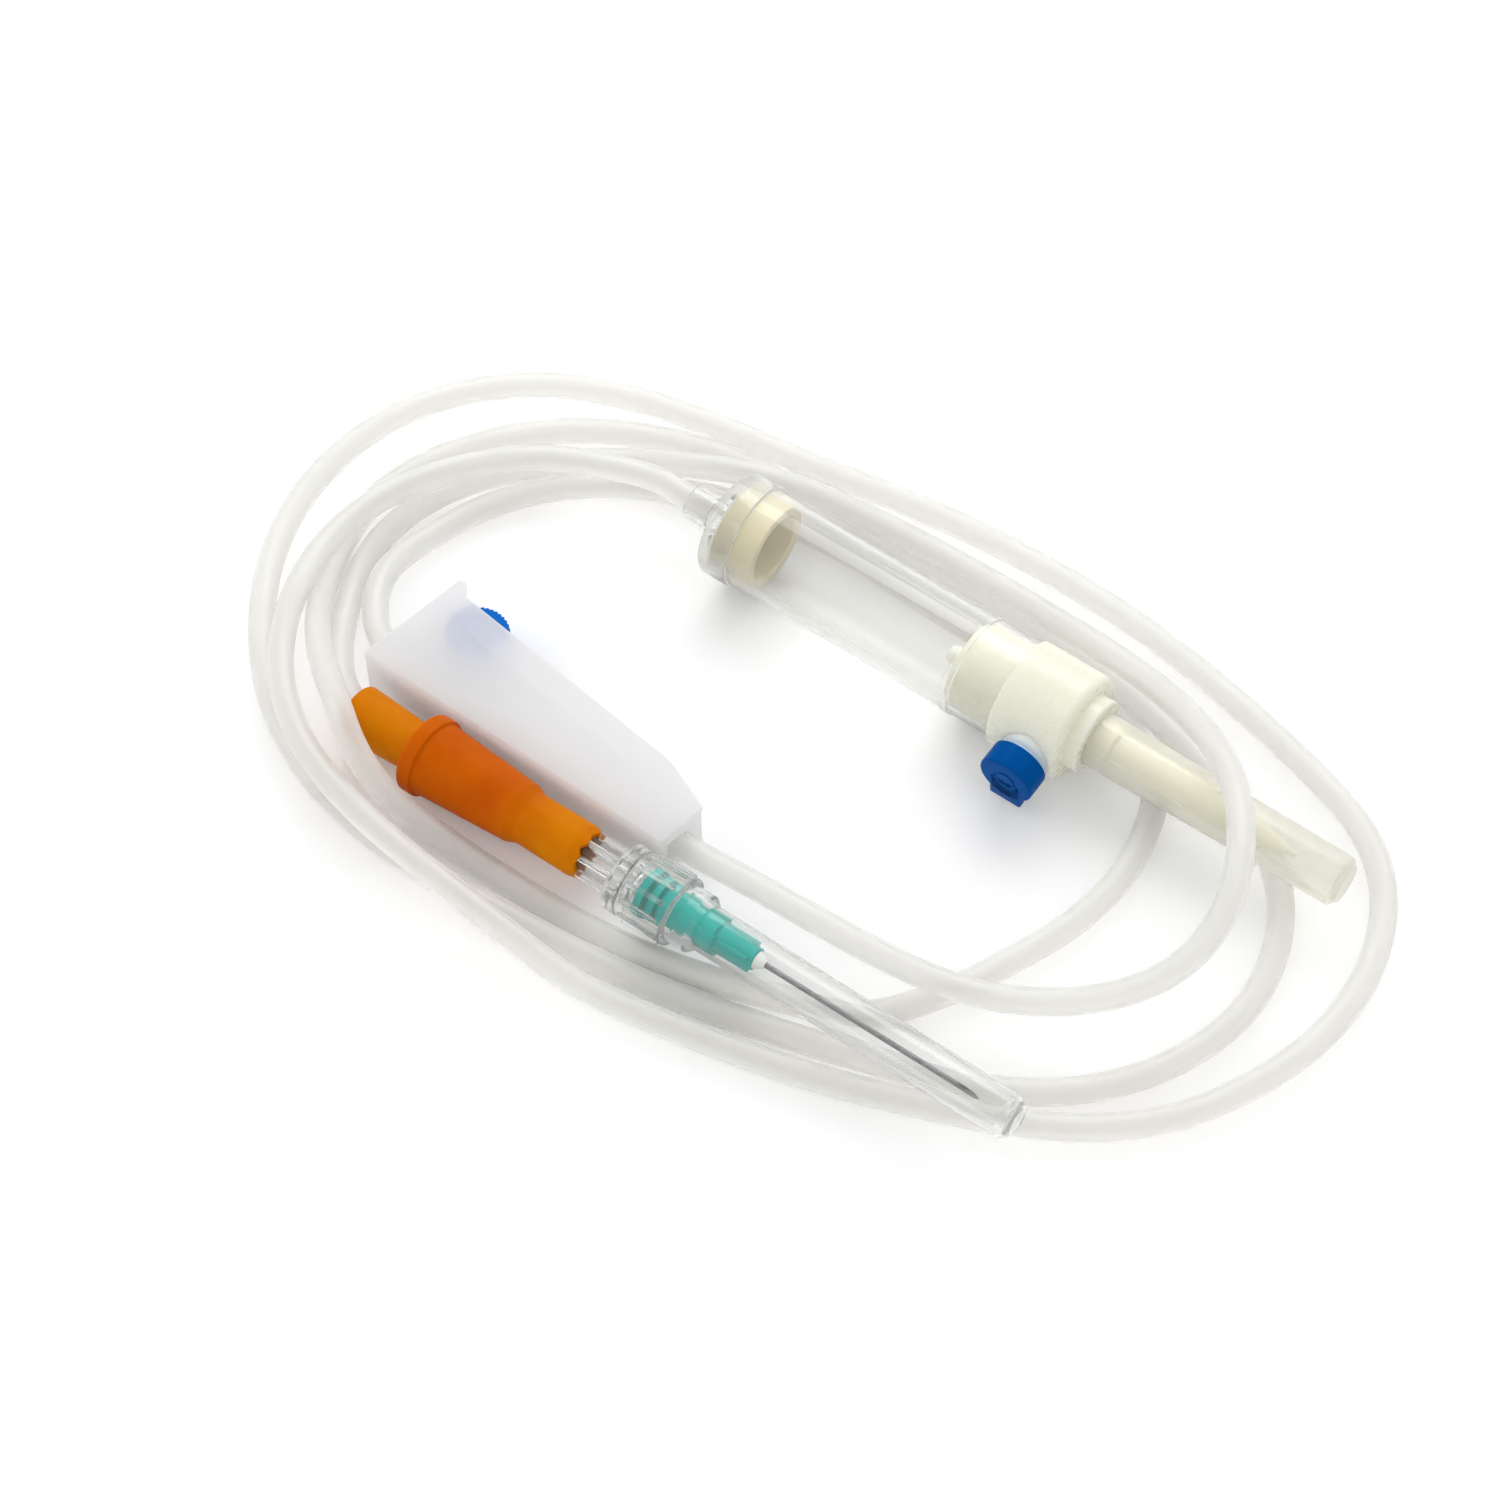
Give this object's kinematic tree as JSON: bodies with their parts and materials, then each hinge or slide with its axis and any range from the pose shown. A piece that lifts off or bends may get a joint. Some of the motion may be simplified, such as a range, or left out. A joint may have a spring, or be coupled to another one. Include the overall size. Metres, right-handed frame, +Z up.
{
  "type": "infusion set",
  "caption": "Gravity infusion set: clear drip chamber with capped spike and vent, coiled clear tube, roller clamp, amber latex bulb and a capped luer needle.",
  "frame": {"origin": "centre of the bounding box of the rigid pieces, on the floor that the set lies on", "axes": "+Z up from the floor, +X along the long side of the group of rigid pieces, from the clamp towards the spike cap, +Y towards the drip chamber side"},
  "size_m": [0.171, 0.1421, 0.0213],
  "materials": {
    "clear": "clear moulded plastic",
    "mesh": "fine woven mesh",
    "filter_cream": "satin",
    "ivory": "satin ivory",
    "membrane": "matt",
    "blue_cap": "glossy, tinted through",
    "milky": "satin translucent",
    "tube_pvc": "glossy translucent",
    "clamp_white": "satin translucent white",
    "roller_blue": "knurled",
    "latex": "smooth latex",
    "clear_hard": "glossy clear",
    "teal": "glossy",
    "glue": "satin",
    "steel": "polished",
    "cap_clear": "glossy clear"
  },
  "bodies": {
    "set": {"outlet_cap": "clear", "filter_mesh": "mesh", "filter_ring": "filter_cream", "chamber_barrel": "clear", "drip_former": "ivory", "spike_body": "ivory", "vent_filter": "membrane", "tube": "tube_pvc", "clamp_body": "clamp_white", "latex_bulb": "latex", "luer_connector": "clear_hard"},
    "roller": {"clamp_roller": "roller_blue"},
    "vent_cap": {"vent_cap": "blue_cap"},
    "spike_cap": {"spike_cap": "milky"},
    "lock_collar": {"luer_lock_collar": "clear_hard"},
    "hub": {"needle_hub": "teal", "needle": "steel", "needle_bond": "glue"},
    "needle_cap": {"needle_cap": "cap_clear"}
  },
  "joints": [
    {"name": "roller_slide", "type": "slide", "parent": "set", "child": "roller", "axis": [0.7218, -0.6921, 0], "range_m": [0, 0.0205]},
    {"name": "vent_cap_pull", "type": "slide", "parent": "set", "child": "vent_cap", "axis": [-0.5926, -0.8008, -0.0872], "range_m": [0, 0.008]},
    {"name": "spike_cap_pull", "type": "slide", "parent": "set", "child": "spike_cap", "axis": [0.8039, -0.5948, 0], "range_m": [0, 0.04]},
    {"name": "lock_collar_turn", "type": "hinge", "parent": "set", "child": "lock_collar", "pos_m": [-0.02649, -0.0174, 0.00808], "axis": [0.798, -0.6013, 0.0401], "range_deg": [0, 180]},
    {"name": "hub_pull", "type": "slide", "parent": "set", "child": "hub", "axis": [0.798, -0.6013, 0.0401], "range_m": [0, 0.012]},
    {"name": "needle_cap_pull", "type": "slide", "parent": "hub", "child": "needle_cap", "axis": [0.798, -0.6013, 0.0401], "range_m": [0, 0.055]}
  ]
}
